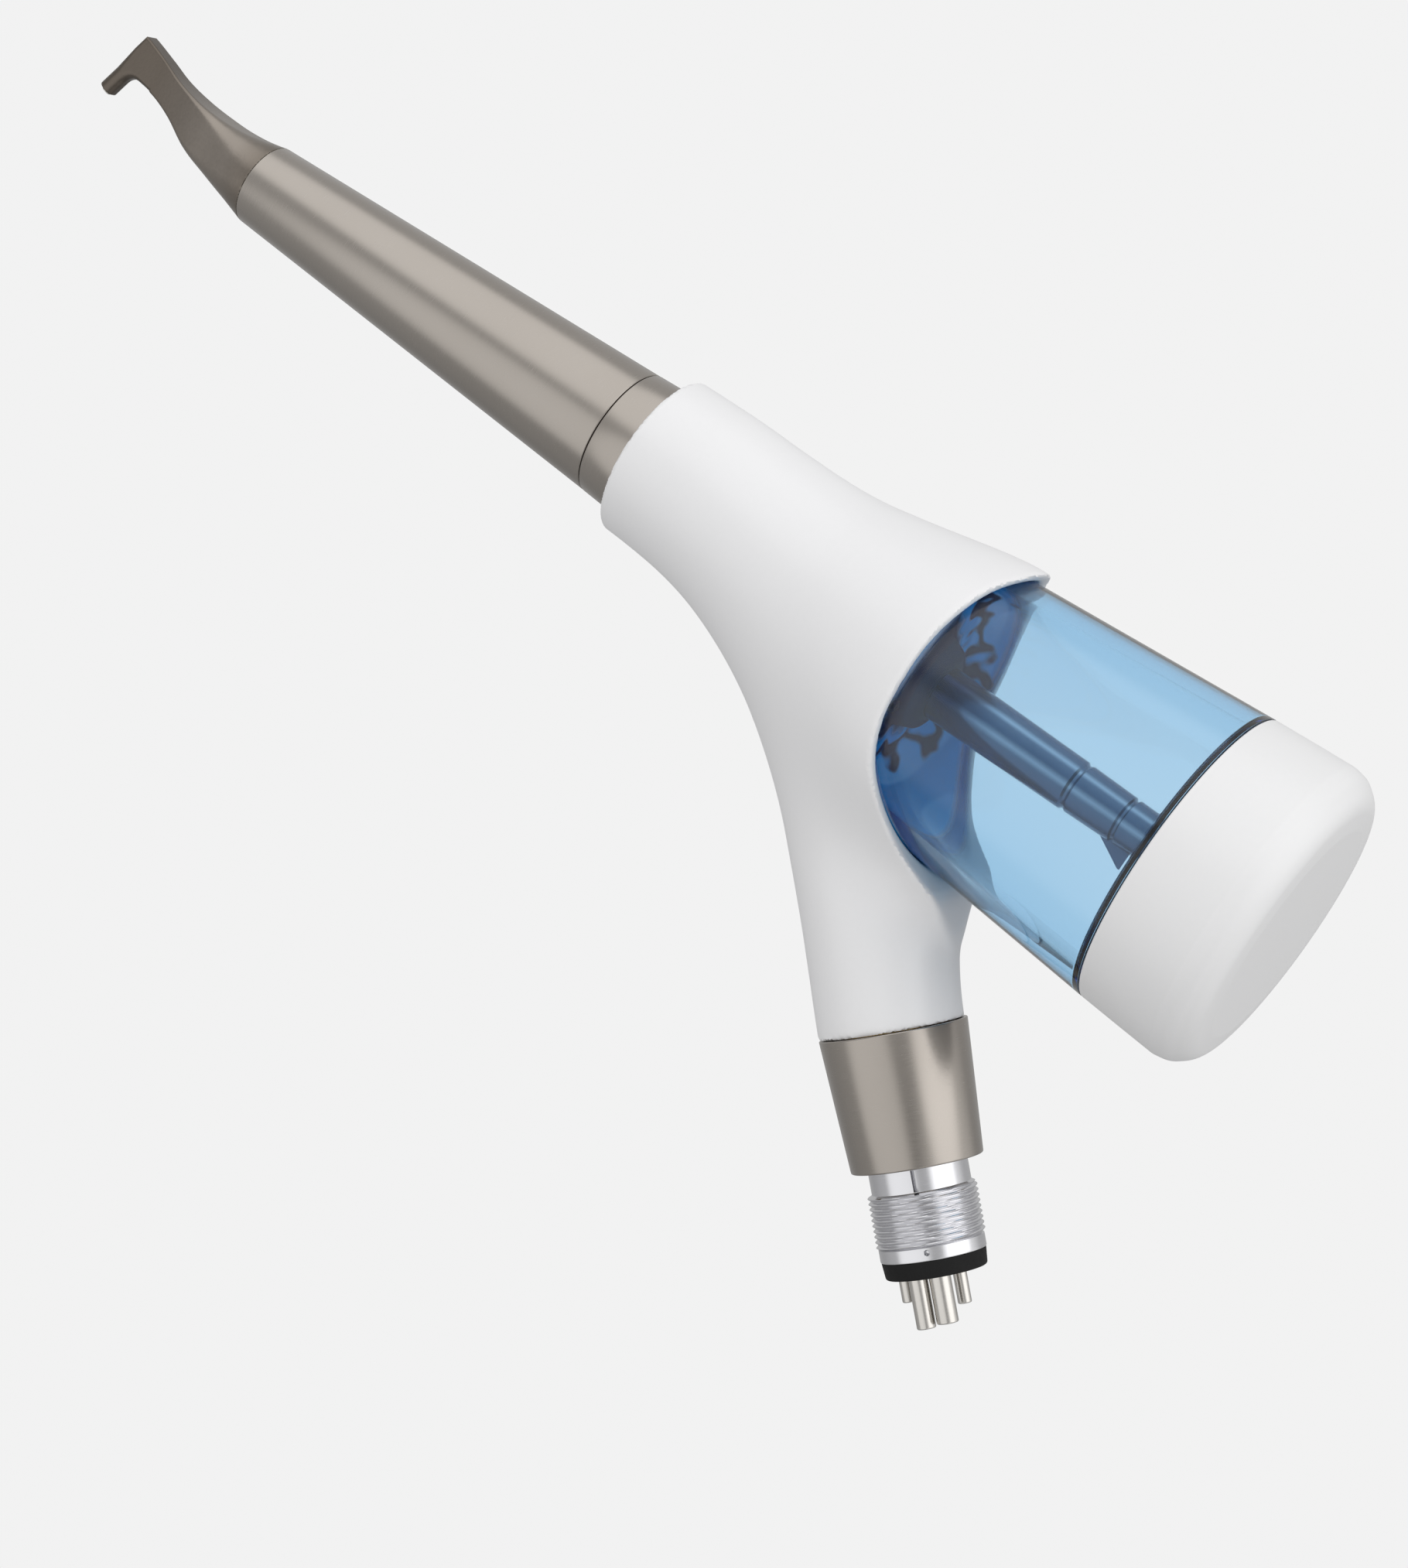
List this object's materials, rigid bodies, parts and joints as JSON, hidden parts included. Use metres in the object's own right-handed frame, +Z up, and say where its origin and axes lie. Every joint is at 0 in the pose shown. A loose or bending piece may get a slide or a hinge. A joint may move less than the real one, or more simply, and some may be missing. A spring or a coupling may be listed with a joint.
{
  "type": "air-polishing prophy handpiece",
  "caption": "Angled dental air-polishing handpiece: bent spray head on a turning metal barrel, Y-shaped white housing, clear powder chamber with screw cap, and a hose connector.",
  "frame": {"origin": "centre of the hose gasket's free face, where the handpiece meets its hose", "axes": "+X along the barrel and chamber axes from the spray head to the cap, +Z up away from the spray nozzle's opening, Y across the plane of symmetry"},
  "size_m": [0.1778, 0.0378, 0.0799],
  "materials": {
    "head_metal": "satin, bead blasted",
    "titanium": "satin, brushed",
    "steel": "drawn tube",
    "chrome": "polished",
    "brass": "turned",
    "white_plastic": "smooth moulded",
    "blue_clear": "clear tinted plastic, polished",
    "grey_clear": "smoked clear plastic",
    "black_rubber": "moulded",
    "hose_plastic": "soft tube"
  },
  "bodies": {
    "body": {"front_collar": "titanium", "spindle": "steel", "spindle_o_ring_1": "black_rubber", "spindle_o_ring_2": "black_rubber", "spindle_o_ring_3": "black_rubber", "snap_ring": "steel", "housing": "white_plastic", "manifold": "steel", "powder_line": "hose_plastic", "air_line": "hose_plastic", "water_line": "hose_plastic", "check_valve_body": "brass", "check_spring": "steel", "chamber": "blue_clear", "chamber_seal": "black_rubber", "stem_tube": "grey_clear", "stem_jet": "grey_clear", "rear_ferrule": "titanium", "rear_core": "brass", "hose_connector": "chrome", "connector_o_ring": "black_rubber", "hose_gasket": "black_rubber", "exhaust_tube": "steel", "drive_air_tube": "steel", "water_tube": "steel", "chip_air_tube": "steel"},
    "bush": {"swivel_bush": "brass"},
    "handpiece": {"barrel": "titanium", "barrel_core": "brass", "front_bush": "brass", "powder_tube": "steel", "water_tube_front": "steel", "nozzle_head": "head_metal", "powder_nozzle": "steel"},
    "seal": {"cap_seal": "black_rubber"},
    "cap": {"cap": "white_plastic"},
    "ball": {"check_ball": "steel"}
  },
  "joints": [
    {"name": "handpiece_pull", "type": "slide", "parent": "body", "child": "bush", "axis": [-1, 0, 0], "range_m": [0, 0.018]},
    {"name": "handpiece_turn", "type": "hinge", "parent": "bush", "child": "handpiece", "pos_m": [-0.1, 0, 0.0587], "axis": [-1, 0, 0], "continuous": true},
    {"name": "cap_rise", "type": "slide", "parent": "body", "child": "seal", "axis": [1, 0, 0], "range_m": [0, 0.005]},
    {"name": "cap_turn", "type": "hinge", "parent": "seal", "child": "cap", "pos_m": [0.005, 0, 0.0552], "axis": [1, 0, 0], "range_deg": [0, 720]},
    {"name": "check_lift", "type": "slide", "parent": "body", "child": "ball", "axis": [-0.6884, 0, 0.7254], "range_m": [0, 0.0012], "stiffness_N_per_m": 20, "springref_m": -0.001, "deforming": ["check_spring"]}
  ],
  "couplings": [
    {"joint": "cap_rise", "follows": "cap_turn", "m_per_rad": 0.00039789}
  ]
}
